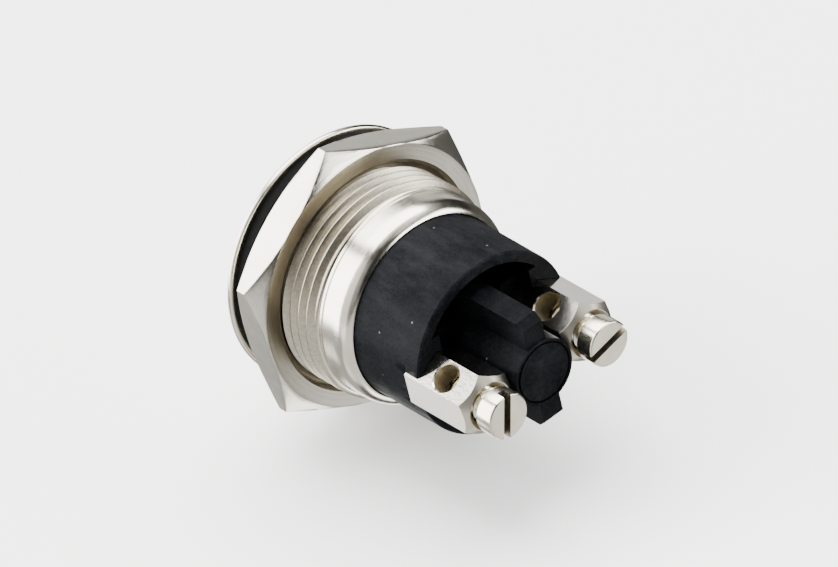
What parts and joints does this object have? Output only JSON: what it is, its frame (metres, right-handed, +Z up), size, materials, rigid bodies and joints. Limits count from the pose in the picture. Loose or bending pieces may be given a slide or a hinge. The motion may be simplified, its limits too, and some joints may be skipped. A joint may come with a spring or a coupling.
{
  "type": "push button switch",
  "caption": "Metal push button with a round bezel, threaded shank and hexagon nut, and a black rear body with a barrier and two slotted screw terminals for wires.",
  "frame": {"origin": "on the switch axis, in the rear face of the bezel flange, where the panel stack starts", "axes": "+Y along the switch axis from the button to the terminals, +Z up, X along the line through the two terminals"},
  "size_m": [0.024, 0.0314, 0.0264],
  "materials": {
    "nickel_body": "nickel-plated brass, turned, polished rolled rim",
    "nickel_nut": "nickel-plated brass, satin faces with turning marks",
    "nickel_terminal": "nickel-plated brass, bright drawn bar, bare brass in the holes",
    "nickel_screw": "nickel-plated brass, bright",
    "bare_brass": "bare brass strip",
    "silver": "silver contact alloy",
    "steel": "stainless steel, satin",
    "spring_steel": "spring steel wire and strip",
    "rubber": "black rubber",
    "black_plastic": "black moulded plastic, semi-matt, faint scuffs",
    "dark_plastic": "dark insulating board",
    "white_plastic": "off-white acetal"
  },
  "bodies": {
    "housing": {"bushing": "nickel_body", "panel_gasket": "rubber", "chamber_cover": "dark_plastic", "base_seal": "rubber", "rear_body": "black_plastic", "terminal_left": "nickel_terminal", "terminal_right": "nickel_terminal", "fixed_tip_left": "silver", "fixed_tip_right": "silver", "return_spring": "spring_steel"},
    "nut": {"panel_nut": "nickel_nut"},
    "button": {"button_cap": "steel", "cap_oring": "rubber", "plunger": "white_plastic", "bridge_clip": "spring_steel", "contact_spring": "spring_steel"},
    "bridge": {"contact_bridge": "bare_brass", "bridge_tip_left": "silver", "bridge_tip_right": "silver"},
    "screw_left": {"terminal_screw_left": "nickel_screw"},
    "screw_right": {"terminal_screw_right": "nickel_screw"}
  },
  "joints": [
    {"name": "button_press", "type": "slide", "parent": "housing", "child": "button", "axis": [0, 1, 0], "range_m": [0, 0.0018], "stiffness_N_per_m": 1000, "springref_m": -0.002, "deforming": ["return_spring", "contact_spring"]},
    {"name": "bridge_close", "type": "slide", "parent": "housing", "child": "bridge", "axis": [0, 1, 0], "range_m": [0, 0.00127]},
    {"name": "nut_travel", "type": "slide", "parent": "housing", "child": "nut", "axis": [0, 1, 0], "range_m": [-0.00095, 0.0062]},
    {"name": "screw_left_travel", "type": "slide", "parent": "housing", "child": "screw_left", "axis": [0, 1, 0], "range_m": [-0.0004, 0.003]},
    {"name": "screw_right_travel", "type": "slide", "parent": "housing", "child": "screw_right", "axis": [0, 1, 0], "range_m": [-0.0004, 0.003]}
  ],
  "couplings": [
    {"joint": "bridge_close", "follows": "button_press", "ratio": 0.7}
  ]
}
